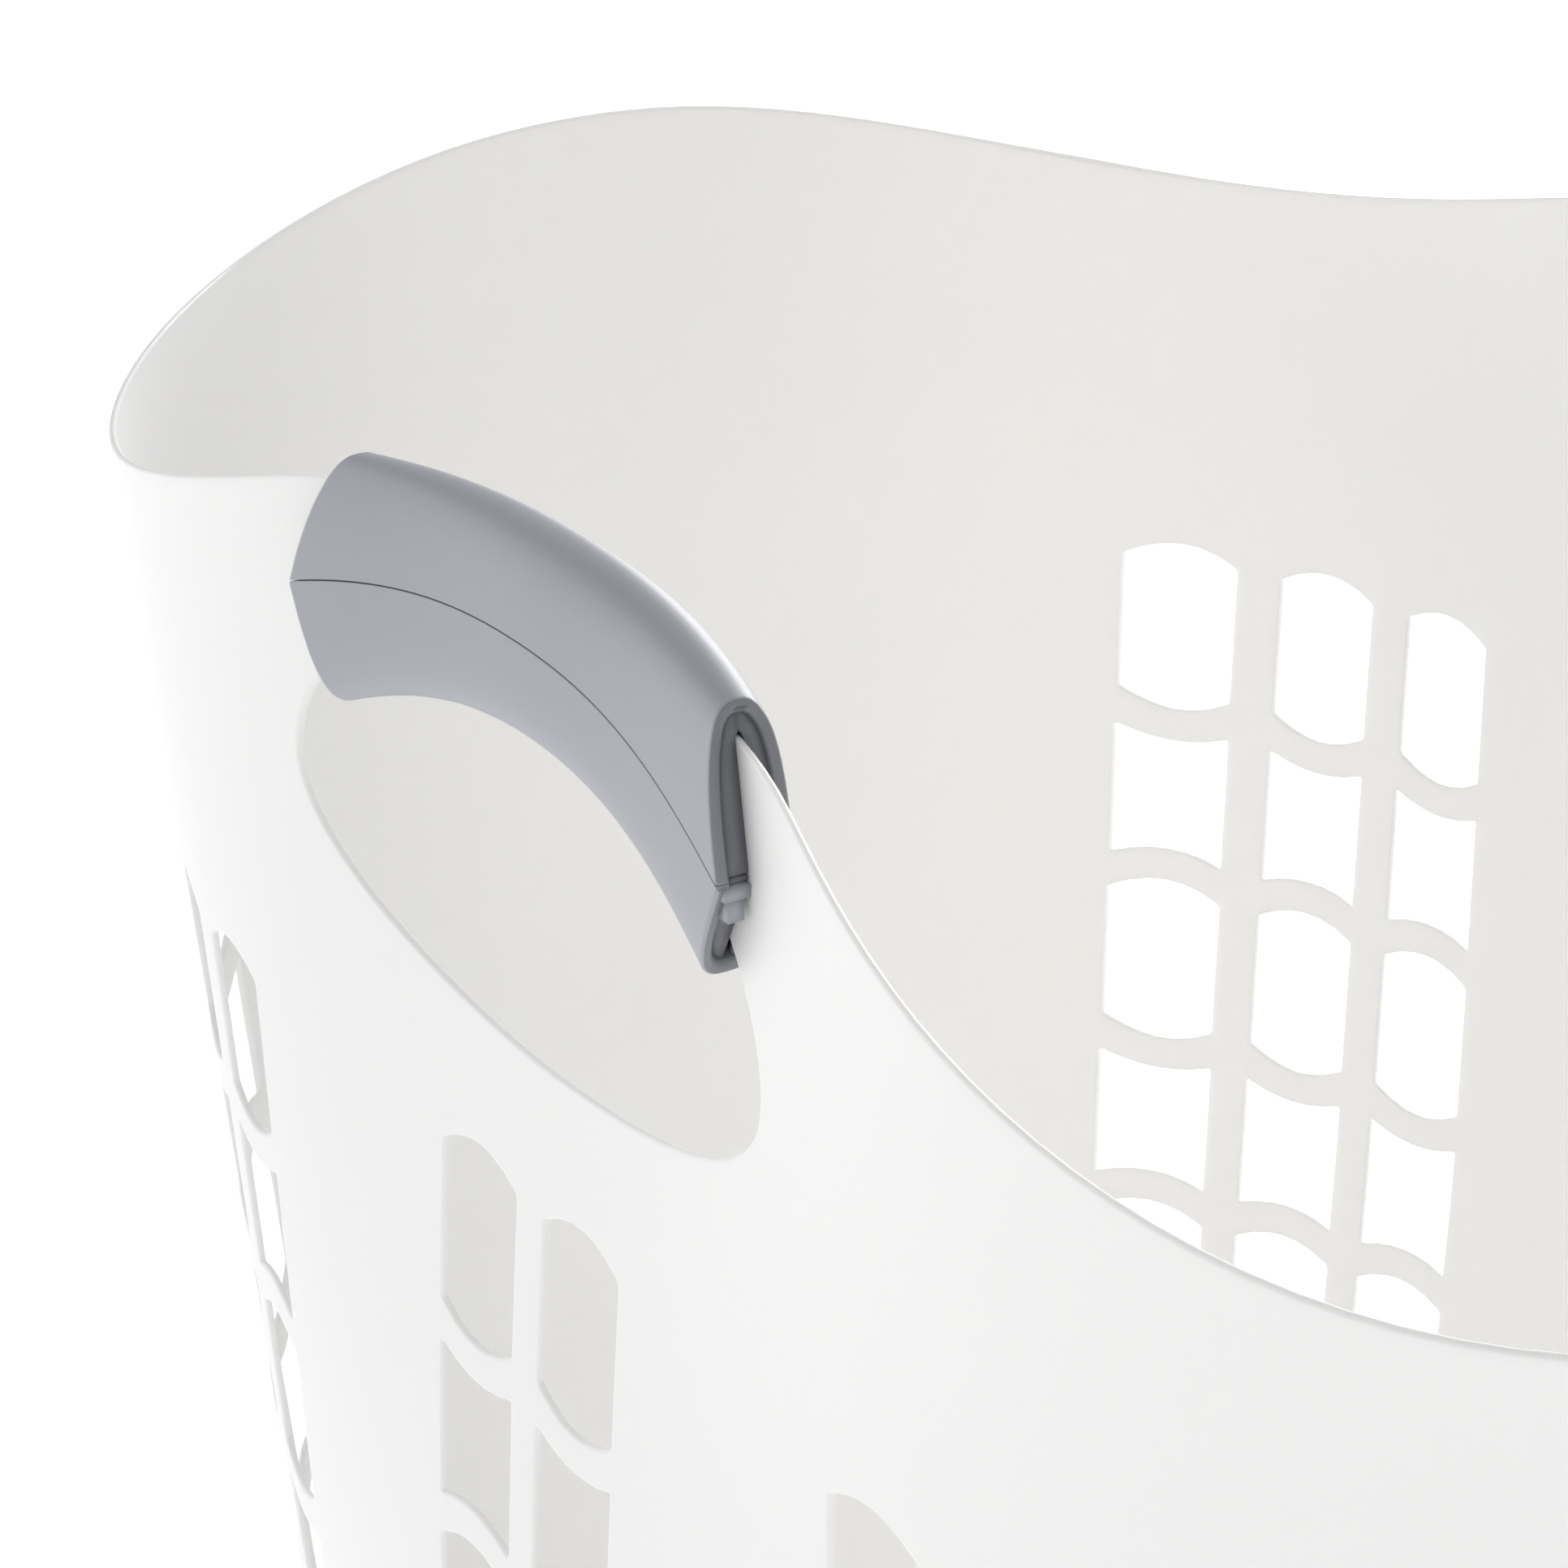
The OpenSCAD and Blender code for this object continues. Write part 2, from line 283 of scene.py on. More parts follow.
def wall_sheet(loops):
    """Triangles of the wall's -X half, in (angle, height) of the outer skin, and its edges' points."""
    turns = np.pi / 2 + np.pi * np.linspace(0, 1, TURN_STEPS)
    top = rim_height(turns) - WALL / 2
    points, rings = [], []
    for outline, away in loops:
        grown = outline + away * OUTER_EDGE
        angle = turn_at(grown[:, 0], grown[:, 1], 0)
        rings.append(np.arange(len(points), len(points) + len(grown)))
        points += list(zip(angle, grown[:, 1]))
    holes = [np.array([points[i] for i in ring]) for ring in rings]
    rim_ids = np.arange(len(points), len(points) + len(turns))
    points += list(zip(turns, top))
    foot_ids = np.arange(len(points), len(points) + len(turns))
    points += [(t, FOOT_ROUND) for t in turns]
    heights = np.concatenate([np.linspace(FOOT_ROUND, FINE_FROM, COARSE_LEVELS)[1:],
                              np.linspace(FINE_FROM, REFERENCE_Z, FINE_LEVELS)[1:]])
    scale = np.array([METRES_A_TURN, 1.0])
    for z in heights:
        inner = z < top - RIM_CLEAR
        for hole in holes:
            low, high = hole.min(0) - HOLE_REACH, hole.max(0) + HOLE_REACH
            if z < low[1] or z > high[1]:
                continue
            close = inner & (turns > low[0]) & (turns < high[0])
            for i in np.nonzero(close)[0]:
                here = np.array([turns[i], z]) * scale
                if inside(np.array([turns[i], z]), hole) or to_loop(here, hole * scale) < HOLE_CLEAR:
                    inner[i] = False
        points += [(t, z) for t in turns[inner]]
    ring_edges = [(ring[i], ring[(i + 1) % len(ring)]) for ring in rings for i in range(len(ring))]
    edge_edges = [(ids[i], ids[i + 1]) for ids in (rim_ids, foot_ids) for i in range(len(turns) - 1)]
    flat = [Vector((p[0] * METRES_A_TURN, p[1])) for p in points]
    edges = [(int(a), int(b)) for a, b in ring_edges + edge_edges]
    verts, _, faces, origin, _, _ = delaunay_2d_cdt(flat, edges, [], 0, MERGE)
    if len(verts) != len(flat):
        raise SystemExit(f"the sheet gained points: {len(flat)} to {len(verts)}")
    back = np.array([o[0] for o in origin])
    xy = np.array(points)
    tris = back[np.array(faces)]
    middle = xy[tris].mean(1)
    keep = (middle[:, 1] < np.interp(middle[:, 0], turns, top)) & (middle[:, 1] > FOOT_ROUND)
    for hole in holes:
        low, high = hole.min(0), hole.max(0)
        near = keep & (middle > low).all(1) & (middle < high).all(1)
        for i in np.nonzero(near)[0]:
            if inside(middle[i], hole):
                keep[i] = False
    return xy, tris[keep], rings, rim_ids, foot_ids


def inside(point, loop):
    """Whether a point is inside a closed outline."""
    a, b = loop, np.roll(loop, -1, 0)
    cross = (a[:, 1] > point[1]) != (b[:, 1] > point[1])
    safe = np.where(cross, b[:, 1] - a[:, 1], 1)
    at = a[:, 0] + (point[1] - a[:, 1]) * (b[:, 0] - a[:, 0]) / safe
    return bool(np.count_nonzero(cross & (point[0] < at)) % 2)


def to_loop(point, loop):
    """Distance from a point to a closed outline."""
    a, b = loop, np.roll(loop, -1, 0)
    span = b - a
    t = np.clip(((point - a) * span).sum(1) / (span**2).sum(1), 0, 1)
    return np.sqrt(((a + span * t[:, None] - point) ** 2).sum(1).min())


LONG_WALL_FROM, LONG_WALL_BLEND, NEARLY_ALL = 0.86, 0.11, 0.999
RIM_STEPS, FOOT_STEPS, ON_SEAM = 7, 9, 1e-7


def lay_on_shell(loops):
    """The whole wall as points, triangles or quads, and a normal for each point, for the -X half."""
    xy, tris, rings, rim_ids, foot_ids = wall_sheet(loops)
    turn, z = xy[:, 0], xy[:, 1]
    outer, outer_n = shell_point(turn, z, 0), shell_normal(turn, z, 0)
    z_in = z.copy()
    z_in[foot_ids] = FOOT_ROUND + FLOOR_THICK
    reach = np.abs(outer[:, 1]) / half_depth(z)
    blend = np.clip((reach - LONG_WALL_FROM) / LONG_WALL_BLEND, 0, 1)
    blend = blend * blend * (3 - 2 * blend)
    most_y = (half_depth(z) - WALL) * NEARLY_ALL
    held_y = np.clip(outer[:, 1], -most_y, most_y)
    turn_in = turn * blend + turn_at(held_y, z_in, WALL) * (1 - blend)
    for (outline, away), ring in zip(loops, rings):
        close = outline + away * INNER_EDGE
        z_in[ring] = close[:, 1]
        turn_in[ring] = turn_at(close[:, 0], close[:, 1], WALL)
    inner, inner_n = shell_point(turn_in, z_in, WALL), -shell_normal(turn_in, z_in, WALL)
    points, normals, faces = [outer, inner], [outer_n, inner_n], []
    n = len(xy)
    faces += [tuple(t) for t in tris] + [tuple(t[::-1] + n) for t in tris]
    count = 2 * n

    def add(ring, ring_n):
        nonlocal count
        points.append(ring)
        normals.append(ring_n / np.linalg.norm(ring_n, axis=1, keepdims=True))
        count += len(ring)
        return np.arange(count - len(ring), count)

    def strip(a, b, closed):
        for i in range(len(a) if closed else len(a) - 1):
            j = (i + 1) % len(a)
            faces.append((a[i], a[j], b[j], b[i]))

    for (outline, away), ring in zip(loops, rings):
        into = np.stack([np.zeros(len(away)), -away[:, 0], -away[:, 1]], 1)
        last = ring
        steps = [(0, OUTER_EDGE, t) for t in OUTER_EDGE_STEPS]
        steps += [(WALL, INNER_EDGE, t) for t in INNER_EDGE_STEPS]
        for skin, edge, share in steps:
            t = share * np.pi / 2
            at = outline + away * (edge * (1 - np.sin(t)))
            here = shell_point(turn_at(at[:, 0], at[:, 1], skin), at[:, 1], skin)
            here[:, 0] += (-1 if skin else 1) * edge * (1 - np.cos(t))
            face_n = (inner_n if skin else outer_n)[ring]
            new = add(here, into * np.sin(t) + face_n * np.cos(t))
            strip(new, last, True)
            last = new
        strip(ring + n, last, True)

    rim_out, rim_in = outer[rim_ids], inner[rim_ids]
    middle, half = (rim_out + rim_in) / 2, (rim_out - rim_in) / 2
    lift = np.linalg.norm(half, axis=1, keepdims=True) * np.array([0, 0, 1.0])
    last = rim_ids
    for t in np.linspace(0, np.pi, RIM_STEPS)[1:-1]:
        out = half * np.cos(t) + lift * np.sin(t)
        new = add(middle + out, out)
        strip(last, new, False)
        last = new
    strip(last, rim_ids + n, False)

    for ids, shift, low, sign in ((foot_ids, 0, 0, 1), (foot_ids + n, WALL, FLOOR_THICK, -1)):
        last, around = ids, turn[foot_ids]
        flat_n = np.stack([np.cos(around), np.sin(around), 0 * around], 1)
        for t in np.linspace(0, np.pi / 2, FOOT_STEPS)[1:]:
            drop = FOOT_ROUND * (1 - np.sin(t))
            inset = shift + FOOT_ROUND * (1 - np.cos(t))
            lean = (flat_n * np.cos(t) - np.array([0, 0, np.sin(t)])) * sign
            new = add(shell_point(around, low + drop + 0 * around, inset), lean)
            strip(new, last, False) if sign > 0 else strip(last, new, False)
            last = new
        centre = add(np.array([[0, 0, low]]), np.array([[0, 0, -1.0 * sign]]))[0]
        for i in range(len(last) - 1):
            faces.append((last[i + 1], last[i], centre) if sign > 0 else (last[i], last[i + 1], centre))
    return np.concatenate(points), np.concatenate(normals), faces


def build_body():
    """Both halves of the body as one mesh, joined at the middle plane."""
    points, normals, faces = lay_on_shell(opening_loops())
    on_seam = np.abs(points[:, 0]) < ON_SEAM
    points[on_seam, 0] = 0
    total = len(points)
    twin = np.arange(total, 2 * total)
    twin[on_seam] = np.nonzero(on_seam)[0]
    used = np.concatenate([np.ones(total, bool), ~on_seam])
    number_of = np.cumsum(used) - 1
    all_points = np.concatenate([points, points * [-1, 1, 1]])[used]
    all_normals = np.concatenate([normals, normals * [-1, 1, 1]])[used]
    all_faces = [tuple(int(number_of[v]) for v in f) for f in faces]
    all_faces += [tuple(int(number_of[twin[v]]) for v in f[::-1]) for f in faces]
    mesh = bpy.data.meshes.new("hamper_body")
    mesh.from_pydata(all_points.tolist(), [], all_faces)
    mesh.validate()
    mesh.shade_smooth()
    mesh.normals_split_custom_set_from_vertices(all_normals.tolist())
    return mesh


body = bpy.data.objects.new("hamper_body", build_body())
bpy.context.scene.collection.objects.link(body)
body.data.materials.append(white_shell)


# ---------------------------------------------------------------------------------------------
# Moulded finish, shared by the white shell and the grey grips: the faint ripple and fine grain
# that a mould leaves. The white plastic lets some light through, and the grey one none.
# ---------------------------------------------------------------------------------------------
RIPPLE_HEIGHT, GRAIN_HEIGHT = 0.6, 0.02


def number_socket(tree, name, value):
    """A number input of a node group, with its value."""
    socket = tree.interface.new_socket(name, in_out="INPUT", socket_type="NodeSocketFloat")
    socket.default_value = value


def moulded_finish_group():
    """Tone, roughness and relief of a moulded plastic, from its object coordinates."""
    group = bpy.data.node_groups.new("moulded_finish", "ShaderNodeTree")
    number_socket(group, "Grain Scale", 900)
    number_socket(group, "Ripple Scale", 14)
    number_socket(group, "Roughness", 0.4)
    number_socket(group, "Roughness Range", 0.08)
    for name, value in (("Tone", (1, 1, 1, 1)), ("Tone Deep", (0.95, 0.95, 0.95, 1))):
        socket = group.interface.new_socket(name, in_out="INPUT", socket_type="NodeSocketColor")
        socket.default_value = value
    group.interface.new_socket("Color", in_out="OUTPUT", socket_type="NodeSocketColor")
    group.interface.new_socket("Roughness", in_out="OUTPUT", socket_type="NodeSocketFloat")
    group.interface.new_socket("Height", in_out="OUTPUT", socket_type="NodeSocketFloat")
    entry = group.nodes.new("NodeGroupInput").outputs
    leave = group.nodes.new("NodeGroupOutput").inputs
    where = group.nodes.new("ShaderNodeTexCoord").outputs["Object"]
    ripple, grain = (group.nodes.new("ShaderNodeTexNoise") for _ in range(2))
    link(group, where, ripple.inputs["Vector"])
    link(group, where, grain.inputs["Vector"])
    link(group, entry["Ripple Scale"], ripple.inputs["Scale"])
    link(group, entry["Grain Scale"], grain.inputs["Scale"])
    ripple.inputs["Detail"].default_value = 3
    grain.inputs["Detail"].default_value = 2
    tone = group.nodes.new("ShaderNodeMix")
    tone.data_type = "RGBA"
    link(group, ripple.outputs["Fac"], tone.inputs[0])
    link(group, entry["Tone Deep"], tone.inputs[6])
    link(group, entry["Tone"], tone.inputs[7])
    link(group, tone.outputs[2], leave["Color"])
    spread = number(group, "MULTIPLY", number(group, "SUBTRACT", grain.outputs["Fac"], 0.5),
                    entry["Roughness Range"])
    link(group, number(group, "ADD", entry["Roughness"], spread), leave["Roughness"])
    link(group, number(group, "ADD", number(group, "MULTIPLY", ripple.outputs["Fac"], RIPPLE_HEIGHT),
                       number(group, "MULTIPLY", grain.outputs["Fac"], GRAIN_HEIGHT)), leave["Height"])
    return group


moulded_finish = moulded_finish_group()


def moulded_plastic(material, tone, tone_deep, roughness, bump, subsurface):
    """Gives a material the moulded finish in its own tones."""
    material.use_nodes = True
    tree = material.node_tree
    shader = tree.nodes["Principled BSDF"]
    finish = tree.nodes.new("ShaderNodeGroup")
    finish.node_tree = moulded_finish
    finish.inputs["Tone"].default_value = (*tone, 1)
    finish.inputs["Tone Deep"].default_value = (*tone_deep, 1)
    finish.inputs["Roughness"].default_value = roughness
    link(tree, finish.outputs["Color"], shader.inputs["Base Color"])
    link(tree, finish.outputs["Roughness"], shader.inputs["Roughness"])
    relief = tree.nodes.new("ShaderNodeBump")
    relief.inputs["Strength"].default_value = bump
    relief.inputs["Distance"].default_value = 0.001
    link(tree, finish.outputs["Height"], relief.inputs["Height"])
    link(tree, relief.outputs[0], shader.inputs["Normal"])
    shader.inputs["IOR"].default_value = 1.49
    shader.inputs["Subsurface Weight"].default_value = subsurface
    shader.inputs["Subsurface Scale"].default_value = 0.003
    shader.inputs["Subsurface Radius"].default_value = (1.0, 0.93, 0.82)


moulded_plastic(white_shell, tone=(0.96, 0.957, 0.945), tone_deep=(0.95, 0.947, 0.935),
                roughness=0.42, bump=0.08, subsurface=0.7)
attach(body, "root")
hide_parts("body")

# ---------------------------------------------------------------------------------------------
# Grips. Two grey shells close round each carrying bar, one from above and one from below, and meet
# along a seam at mid height. A slotted web closes each slanted end round the bar, and a snap tongue
# with a hook at each end of a lower shell holds the two together.
# ---------------------------------------------------------------------------------------------
GRIP_Y, GRIP_HALF, SKIN, SEAM_GAP, END_SLANT = 0.012, 0.0655, 0.0023, 0.0002, 0.009
UPPER_SQUARE, LOWER_SQUARE = 2.5, 3
SEAM_MID, SEAM_FALL = 0.580, 0.0115
CROWN_MID, CROWN_FALL = 0.5945, 0.0045
UNDER_MID, UNDER_FALL = 0.563, 0.0175
OUTER_MID, OUTER_TAPER = 0.0082, 0.0022
INNER_MID, INNER_TAPER = 0.0078, 0.0010
LENGTH_STEPS, BEND_STEPS = 41, 25
# The third value is the share of painted shade laid on the grip shells' end lips.
SHARP_TURN, SEAM_EDGE_SHARE, LIP_PAINTED_SHADE = 0.9, 0.15, 0.7


def bar_middle(y, z):
    """Distance of the wall's middle from the middle plane, where the bar runs inside a grip."""
    z = np.minimum(z, BAR_TOP)
    a, b, n = half_width(z), half_depth(z), squareness(z)
    return a * (1 - (np.abs(y) / b) ** n) ** (1 / n) - drawn_in(y, z) - WALL / 2


def grip_skin(share, bend, up, inset):
    """A point of a grip's skin at a share of its length and an angle from the outer seam to the inner."""
    power = 2 / (UPPER_SQUARE if up else LOWER_SQUARE)
    c, rise = np.cos(bend), np.abs(np.sin(bend)) ** power
    y = GRIP_Y + share * (GRIP_HALF - END_SLANT * rise)
    s2 = ((y - GRIP_Y) / GRIP_HALF) ** 2
    seam = SEAM_MID - SEAM_FALL * s2 + (SEAM_GAP / 2 if up else -SEAM_GAP / 2)
    far = CROWN_MID - CROWN_FALL * s2 if up else UNDER_MID - UNDER_FALL * s2
    z = seam + (far - seam + (-inset if up else inset)) * rise
    thick = np.where(c < 0, INNER_MID - INNER_TAPER * s2, OUTER_MID - OUTER_TAPER * s2) - inset
    off = thick * np.sign(c) * np.abs(c) ** power
    return np.stack([-(bar_middle(y, z) + off), y, z], -1)


def shell_mesh(name, up, mirrored):
    """One shell: outer and inner skins with a seam face down each side and a slanted lip at each end."""
    n_y, n_b = LENGTH_STEPS, BEND_STEPS
    share, bend = np.meshgrid(np.linspace(-1, 1, n_y), np.linspace(0, np.pi, n_b), indexing="ij")
    skins = [grip_skin(share, bend, up, inset) for inset in (0, SKIN)]
    points = np.concatenate([s.reshape(-1, 3) for s in skins])

    def at(skin, i, j):
        return skin * n_y * n_b + i * n_b + j

    faces = []
    for i in range(n_y - 1):
        for j in range(n_b - 1):
            faces.append((at(0, i, j), at(0, i + 1, j), at(0, i + 1, j + 1), at(0, i, j + 1)))
            faces.append((at(1, i, j + 1), at(1, i + 1, j + 1), at(1, i + 1, j), at(1, i, j)))
        k = n_b - 1
        faces.append((at(1, i, 0), at(1, i + 1, 0), at(0, i + 1, 0), at(0, i, 0)))
        faces.append((at(0, i, k), at(0, i + 1, k), at(1, i + 1, k), at(1, i, k)))
    for j in range(n_b - 1):
        end = n_y - 1
        faces.append((at(0, 0, j), at(0, 0, j + 1), at(1, 0, j + 1), at(1, 0, j)))
        faces.append((at(1, end, j), at(1, end, j + 1), at(0, end, j + 1), at(0, end, j)))
    if mirrored:
        points = points * [-1, 1, 1]
    mesh = bpy.data.meshes.new(name)
    mesh.from_pydata(points.tolist(), [], faces)
    shape = bmesh.new()
    shape.from_mesh(mesh)
    bmesh.ops.recalc_face_normals(shape, faces=shape.faces)
    weight = shape.edges.layers.float.new("bevel_weight_edge")
    # Painted shade mask: the inner lining faces get full painted shade, and the end lips part of it.
    recess_shade_mask = shape.faces.layers.float.new("recess_shade_mask")
    for face in shape.faces:
        lining = all(v.index >= n_y * n_b for v in face.verts)
        at_end = len({v.index % (n_y * n_b) // n_b for v in face.verts}) == 1
        face[recess_shade_mask] = 1.0 if lining else LIP_PAINTED_SHADE if at_end else 0.0
    for edge in shape.edges:
        if edge.calc_face_angle(0) > SHARP_TURN:
            stations = {v.index % (n_y * n_b) // n_b for v in edge.verts}
            edge[weight] = 1 if stations in ({0}, {n_y - 1}) else SEAM_EDGE_SHARE
    shape.to_mesh(mesh)
    shape.free()
    mesh.shade_smooth()
    return mesh


def soften(piece, width):
    """Rounds a moulding's edges by their bevel weight, and keeps its broad faces smooth."""
    bevel = piece.modifiers.new("rounded_edges", "BEVEL")
    bevel.width = width
    bevel.segments = 3
    bevel.limit_method = "WEIGHT"
    bevel.harden_normals = True
    mesh = bpy.data.meshes.new_from_object(piece.evaluated_get(bpy.context.evaluated_depsgraph_get()))
    piece.modifiers.remove(bevel)
    mesh.name = piece.name
    piece.data = mesh


WEB_SHARE, WEB_STEPS, WEB_OVERLAP, WEB_THICK = 0.975, 49, 0.0002, 0.0012
BAR_CLEARANCE, LEAST_WEB = 0.00015, 1e-5


def end_web(name, up, mirrored, end):
    """A thin web across one open end of a shell, slotted for the bar."""
    bend = np.linspace(0, np.pi, WEB_STEPS)
    rim_of_skin = grip_skin(np.full(WEB_STEPS, end * WEB_SHARE), bend, up, SKIN - WEB_OVERLAP)
    y, z = rim_of_skin[:, 1], rim_of_skin[:, 2]
    clear = WALL / 2 + BAR_CLEARANCE
    above = np.clip(z - (BAR_TOP - WALL / 2), 0, None) / WALL
    over_bar = np.sqrt(np.clip(1 - above**2, 0, 1))
    towards = np.where(np.cos(bend) >= 0, 1, -1)
    off = clear * towards * (over_bar if up else 1)
    slot = np.stack([-(bar_middle(y, z) + off), y, z], -1)
    away = (slot[:, 0] - rim_of_skin[:, 0]) * towards
    points = np.concatenate([rim_of_skin, slot])
    faces = [(i, i + 1, WEB_STEPS + 1 + i, WEB_STEPS + i) for i in range(WEB_STEPS - 1)
             if min(away[i], away[i + 1]) > LEAST_WEB]
    if mirrored:
        points = points * [-1, 1, 1]
    mesh = bpy.data.meshes.new(name)
    mesh.from_pydata(points.tolist(), [], faces)
    sheet = bpy.data.objects.new(name, mesh)
    bpy.context.scene.collection.objects.link(sheet)
    thick = sheet.modifiers.new("web_thickness", "SOLIDIFY")
    thick.thickness, thick.offset = WEB_THICK, 0
    solid = bpy.data.meshes.new_from_object(sheet.evaluated_get(bpy.context.evaluated_depsgraph_get()))
    bpy.data.objects.remove(sheet)
    shape = bmesh.new()
    shape.from_mesh(solid)
    bmesh.ops.delete(shape, geom=[v for v in shape.verts if not v.link_faces], context="VERTS")
    bmesh.ops.recalc_face_normals(shape, faces=shape.faces)
    # Painted shade mask: every face of the web gets full painted shade, as if it lay in the grip's
    # shadow.
    recess_shade_mask = shape.faces.layers.float.new("recess_shade_mask")
    for face in shape.faces:
        face[recess_shade_mask] = 1.0
    shape.to_mesh(solid)
    shape.free()
    return solid


def tongue_tree(material):
    """A ledge with a hook under it at each end of a grip, which snaps the two shells together."""
    tree = node_tree("snap_tongues", [
        ("Front", "NodeSocketVector"), ("Back", "NodeSocketVector"),
        ("Ledge Size", "NodeSocketVector"), ("Hook Size", "NodeSocketVector"),
        ("Hook Drop", "NodeSocketFloat"), ("Hook In", "NodeSocketFloat")])
    entry = tree.nodes.new("NodeGroupInput").outputs
    leave = tree.nodes.new("NodeGroupOutput")
    ends = tree.nodes.new("GeometryNodeMeshLine")
    ends.mode = "END_POINTS"
    ends.inputs["Count"].default_value = 2
    link(tree, entry["Front"], ends.inputs["Start Location"])
    link(tree, entry["Back"], ends.inputs["Offset"])
    ledge, hook = (tree.nodes.new("GeometryNodeMeshCube") for _ in range(2))
    link(tree, entry["Ledge Size"], ledge.inputs["Size"])
    link(tree, entry["Hook Size"], hook.inputs["Size"])
    drop = tree.nodes.new("ShaderNodeCombineXYZ")
    link(tree, entry["Hook In"], drop.inputs["X"])
    link(tree, number(tree, "MULTIPLY", entry["Hook Drop"], -1.0), drop.inputs["Z"])
    lower = tree.nodes.new("GeometryNodeTransform")
    link(tree, hook.outputs["Mesh"], lower.inputs["Geometry"])
    link(tree, drop.outputs[0], lower.inputs["Translation"])
    both = tree.nodes.new("GeometryNodeJoinGeometry")
    link(tree, ledge.outputs["Mesh"], both.inputs[0])
    link(tree, lower.outputs[0], both.inputs[0])
    place = tree.nodes.new("GeometryNodeInstanceOnPoints")
    link(tree, ends.outputs["Mesh"], place.inputs["Points"])
    link(tree, both.outputs[0], place.inputs["Instance"])
    finish_tree(tree, place.outputs[0], leave, material)
    return tree


def paint_recess_shade(material, amount):
    """Painted shade: faces marked by the shade attribute have their base colour darkened, standing in for
    the shadow inside the grips.
    """
    tree = material.node_tree
    base = tree.nodes["Principled BSDF"].inputs["Base Color"]
    tone = base.links[0].from_socket
    mark = tree.nodes.new("ShaderNodeAttribute")
    mark.attribute_name = "recess_shade_mask"
    dark = tree.nodes.new("ShaderNodeVectorMath")
    dark.operation = "SCALE"
    link(tree, tone, dark.inputs[0])
    shade = number(tree, "MULTIPLY", mark.outputs["Fac"], amount)
    link(tree, number(tree, "SUBTRACT", 1.0, shade), dark.inputs["Scale"])
    link(tree, dark.outputs[0], base)


def in_one(name, meshes):
    """The meshes as one, so that what is moulded together is one piece."""
    shape = bmesh.new()
    for mesh in meshes:
        shape.from_mesh(mesh)
    whole = bpy.data.meshes.new(name)
    shape.to_mesh(whole)
    shape.free()
    whole.shade_smooth()
    return whole


TONGUE_REACH, TONGUE_WALL_Z, TONGUE_OFF, LEDGE_Z = 0.0640, 0.566, 0.0029, 0.5671
# The second value is how strongly the painted shade darkens the grips' inner faces.
LIP_ROUND, RECESS_SHADE = 0.0010, 0.5
grey_grip = bpy.data.materials.new("grey_grip")
moulded_plastic(grey_grip, tone=(0.4, 0.417, 0.457), tone_deep=(0.385, 0.401, 0.439),
                roughness=0.42, bump=0.15, subsurface=0.0)
# The grips' inner linings, end webs and end lips get painted shade in their base colour.
paint_recess_shade(grey_grip, RECESS_SHADE)
tongues_of = tongue_tree(grey_grip)

for side, sign in (("left", -1), ("right", 1)):
    for level in ("upper", "lower"):
        node, up = f"grip_{side}_{level}", level == "upper"
        parts = [shell_mesh(node + "_shell", up, side == "right")]
        parts += [end_web(f"{node}_web", up, side == "right", end) for end in (-1, 1)]
        if not up:
            ends = []
            for end in (-1, 1):
                y = GRIP_Y + end * TONGUE_REACH
                wall = float(bar_middle(np.array(y), np.array(TONGUE_WALL_Z)))
                ends.append((sign * (wall + TONGUE_OFF), y, LEDGE_Z))
            parts.append(run_tree(tongues_of, f"{node}_tongues", {
                "Front": ends[0], "Back": ends[1], "Ledge Size": (0.0044, 0.0030, 0.0018),
                "Hook Size": (0.0026, 0.0024, 0.0038), "Hook Drop": 0.0024, "Hook In": sign * 0.0002}))
        shell = bpy.data.objects.new(node + "_shell", in_one(node + "_shell", parts))
        bpy.context.scene.collection.objects.link(shell)
        shell.data.materials.append(grey_grip)
        soften(shell, LIP_ROUND)
        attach(shell, "root")
        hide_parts(node)

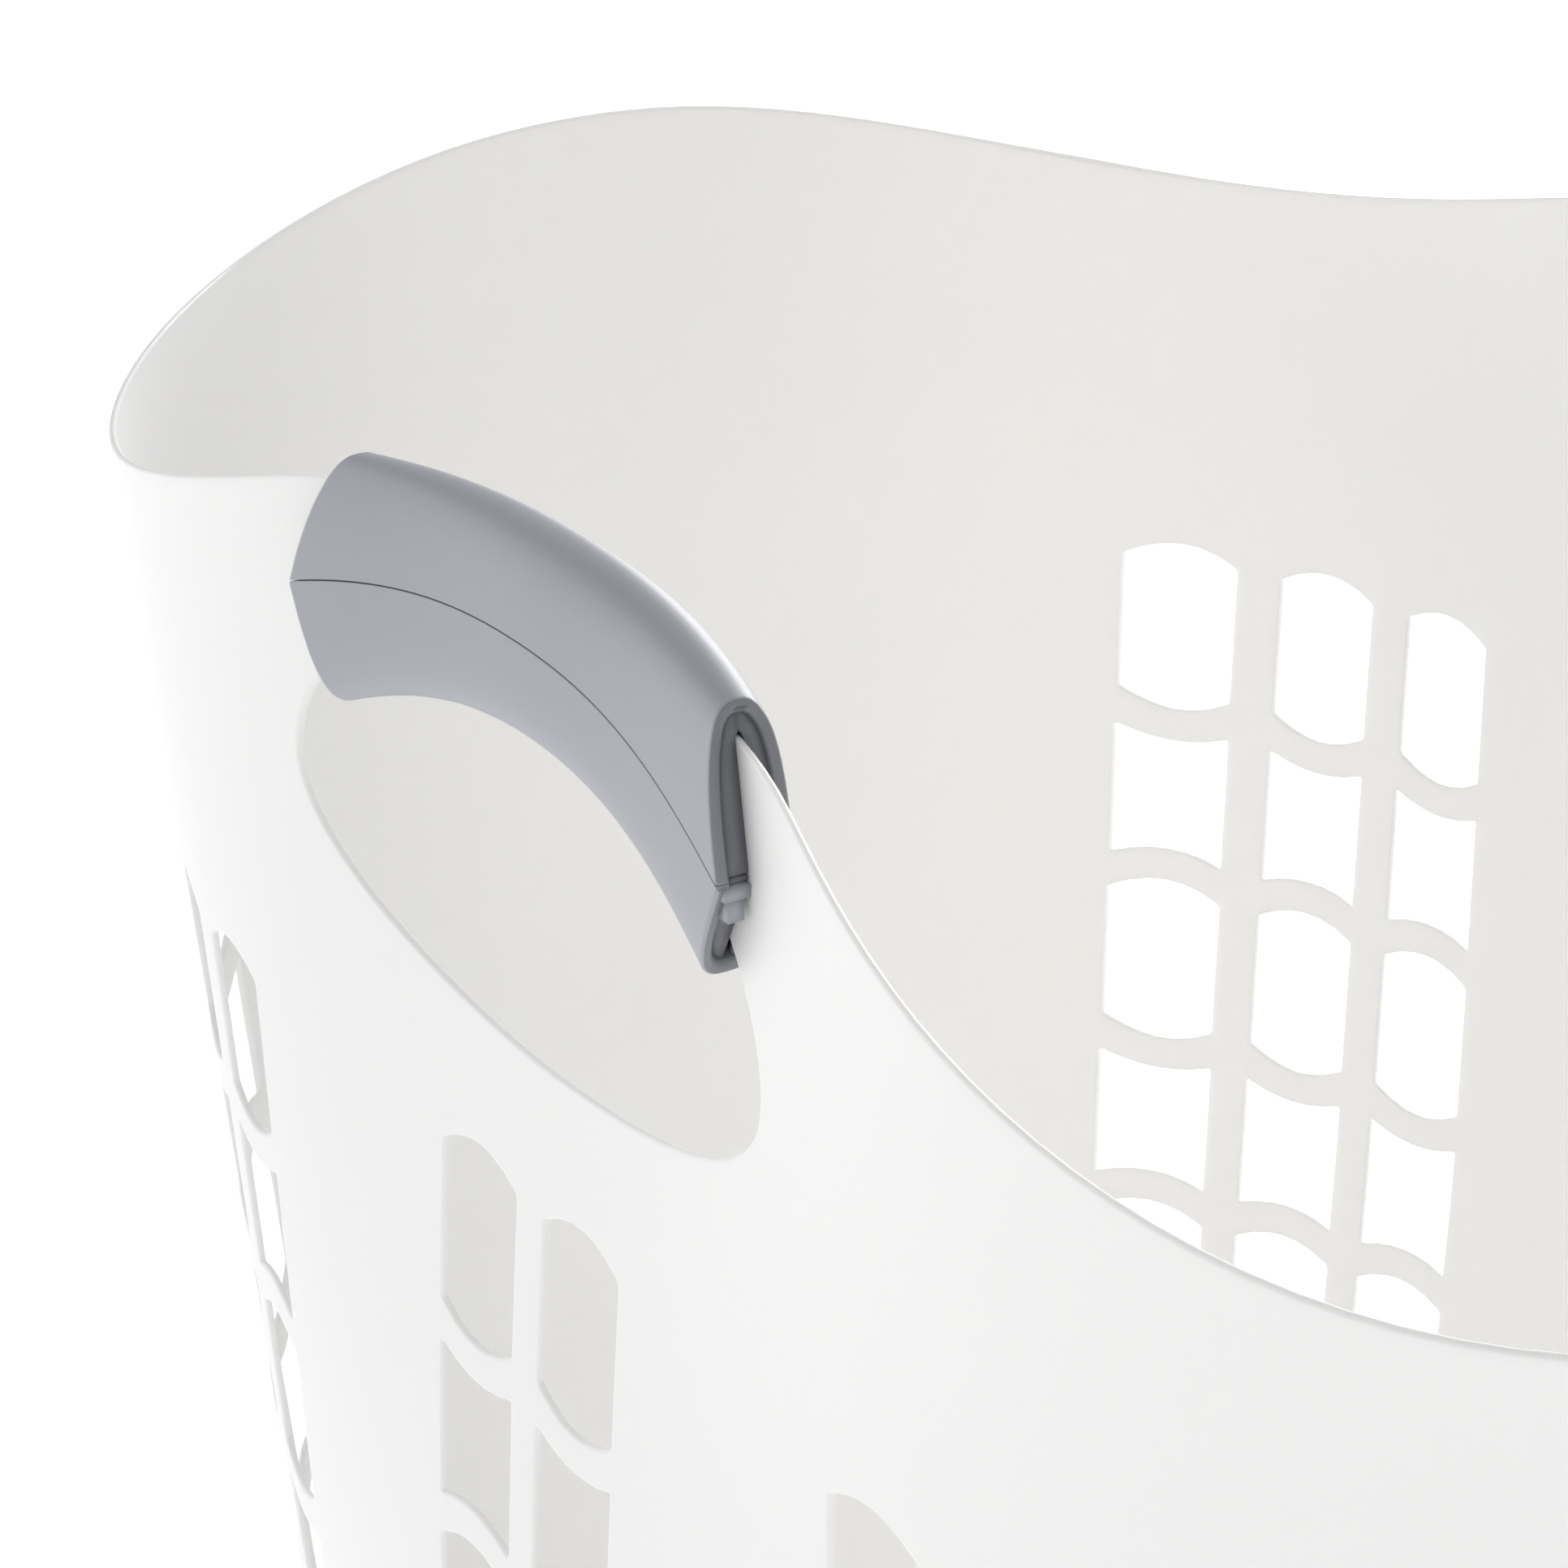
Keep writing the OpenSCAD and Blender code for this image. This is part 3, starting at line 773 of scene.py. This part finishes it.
# ---------------------------------------------------------------------------------------------
# Studio. A plain pale floor under the hamper, soft light all round with three soft boxes, and the
# camera above one handle, looking down and across the open top.
# ---------------------------------------------------------------------------------------------
floor_mesh = bpy.data.meshes.new("floor")
reach, floor_gap = 9.0, 0.0002
floor_corners = [(-reach, -reach, 0), (reach, -reach, 0), (reach, reach, 0), (-reach, reach, 0)]
floor_mesh.from_pydata(floor_corners, [], [(0, 1, 2, 3)])
floor = bpy.data.objects.new("floor", floor_mesh)
floor.location.z = cad_box[0][2] - floor_gap
bpy.context.scene.collection.objects.link(floor)
pale = bpy.data.materials.new("pale_floor")
pale.use_nodes = True
pale_shader = pale.node_tree.nodes["Principled BSDF"]
pale_shader.inputs["Base Color"].default_value = (0.9, 0.9, 0.9, 1)
pale_shader.inputs["Roughness"].default_value = 0.9
pale_shader.inputs["Emission Color"].default_value = (1, 1, 1, 1)
pale_shader.inputs["Emission Strength"].default_value = 0.45
floor_mesh.materials.append(pale)

world = bpy.data.worlds.new("soft_room")
bpy.context.scene.world = world
world.use_nodes = True
world.node_tree.nodes["Background"].inputs["Color"].default_value = (1, 1, 1, 1)
world.node_tree.nodes["Background"].inputs["Strength"].default_value = 0.54


def soft_box(name, place, aim, size, power):
    """A rectangular area light aimed at a point."""
    lamp = bpy.data.lights.new(name, "AREA")
    lamp.shape = "RECTANGLE"
    lamp.size, lamp.size_y = size
    lamp.energy = power
    holder = bpy.data.objects.new(name, lamp)
    holder.location = place
    holder.rotation_euler = (Vector(aim) - Vector(place)).to_track_quat("-Z", "Y").to_euler()
    bpy.context.scene.collection.objects.link(holder)


soft_box("left", place=(-2.4, -0.9, 0.9), aim=(0, 0, 0.4), size=(2.0, 1.6), power=2)
soft_box("back_right", place=(2.6, 1.6, 1.0), aim=(0, 0, 0.4), size=(2.4, 2.0), power=80)
soft_box("back_left", place=(-1.2, 3.0, 1.0), aim=(0, 0, 0.4), size=(2.4, 2.0), power=20)

lens = bpy.data.cameras.new("camera")
lens.sensor_width = 36
lens.lens = 107.7
lens.clip_start = 0.01
camera = bpy.data.objects.new("camera", lens)
look_down, look_right = 0.4267, 0.5685
camera.location = (-0.4403, -0.5384, 0.8433)
camera.rotation_euler = (np.pi / 2 - look_down, 0, -look_right)
bpy.context.scene.collection.objects.link(camera)
bpy.context.scene.camera = camera
bpy.context.scene.view_settings.view_transform = "Standard"
